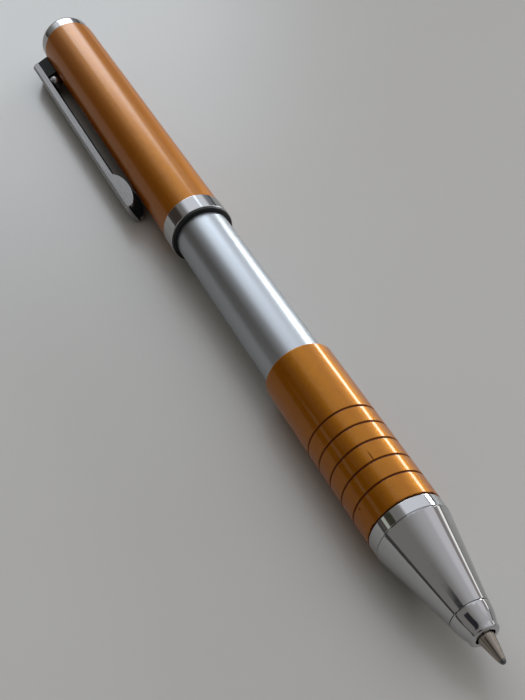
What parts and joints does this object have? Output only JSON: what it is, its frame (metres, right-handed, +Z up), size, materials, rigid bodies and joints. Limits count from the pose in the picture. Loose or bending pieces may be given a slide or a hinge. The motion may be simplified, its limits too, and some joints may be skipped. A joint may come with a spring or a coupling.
{
  "type": "telescopic ballpoint pen",
  "caption": "Slim telescopic ballpoint pen: pulling the barrel back lengthens it and turns a cam that puts the writing tip out of the cone nose. Pocket clip, grooved grip.",
  "frame": {"origin": "centre of the bounding box on the plane that the pen lies on", "axes": "+X along the pen's axis towards the writing tip, +Z up from the plane it lies on; the clip points to -Y and slightly down, with its lower edge on the plane"},
  "size_m": [0.1128, 0.0102, 0.0079],
  "materials": {
    "grip_lacquer": "glossy amber metallic lacquer over turned brass",
    "barrel_lacquer": "satin-gloss amber metallic lacquer over drawn brass",
    "satin_tube": "satin anodised silver",
    "clip_steel": "satin pressed spring steel",
    "chrome": "polished chrome plate",
    "brass": "turned, bare",
    "nickel_silver": "turned nickel silver",
    "steel": "hard drawn or ground steel",
    "rubber": "moulded nitrile rubber",
    "black_plastic": "moulded black nylon",
    "white_plastic": "moulded natural acetal",
    "ink": "thick black oil ink"
  },
  "bodies": {
    "front": {"grip": "grip_lacquer", "inner_tube": "satin_tube", "thread_insert": "brass", "tail_collar": "brass", "friction_ring": "rubber", "guide_plug": "white_plastic", "guide_tube": "brass", "guide_cap": "white_plastic", "return_spring": "steel"},
    "nose": {"nose_cone": "chrome", "nose_tip": "chrome"},
    "cam": {"rotor": "white_plastic", "drive_pin": "steel"},
    "refill": {"refill_tube": "brass", "refill_tip": "nickel_silver", "tip_ball": "steel", "ink_column": "ink", "refill_carrier": "white_plastic", "cam_pin": "steel"},
    "barrel": {"rear_barrel": "barrel_lacquer", "barrel_ring": "chrome", "slide_bush": "black_plastic", "spiral_sleeve": "white_plastic", "end_plug": "black_plastic", "end_cap": "chrome", "clip_post": "clip_steel"},
    "clip": {"clip": "clip_steel"}
  },
  "joints": [
    {"name": "telescope", "type": "slide", "parent": "front", "child": "barrel", "axis": [1, 0, 0], "range_m": [0, 0.0249]},
    {"name": "cam_turn", "type": "hinge", "parent": "front", "child": "cam", "pos_m": [0, 0.00112, 0.00394], "axis": [1, 0, 0], "range_deg": [0, 180]},
    {"name": "refill_slide", "type": "slide", "parent": "front", "child": "refill", "axis": [1, 0, 0], "range_m": [-0.004, 0], "deforming": ["return_spring"]},
    {"name": "nose_off", "type": "slide", "parent": "front", "child": "nose", "axis": [1, 0, 0], "range_m": [0, 0.022]},
    {"name": "clip_flex", "type": "hinge", "parent": "barrel", "child": "clip", "pos_m": [-0.05267, -0.00417, 0.00141], "axis": [0, 0.4328, -0.9015], "range_deg": [0, 4], "stiffness_Nm_per_rad": 1.2}
  ],
  "couplings": [
    {"joint": "cam_turn", "follows": "telescope", "rad_per_m": 126.17},
    {"joint": "refill_slide", "follows": "telescope", "ratio": -0.1606}
  ]
}
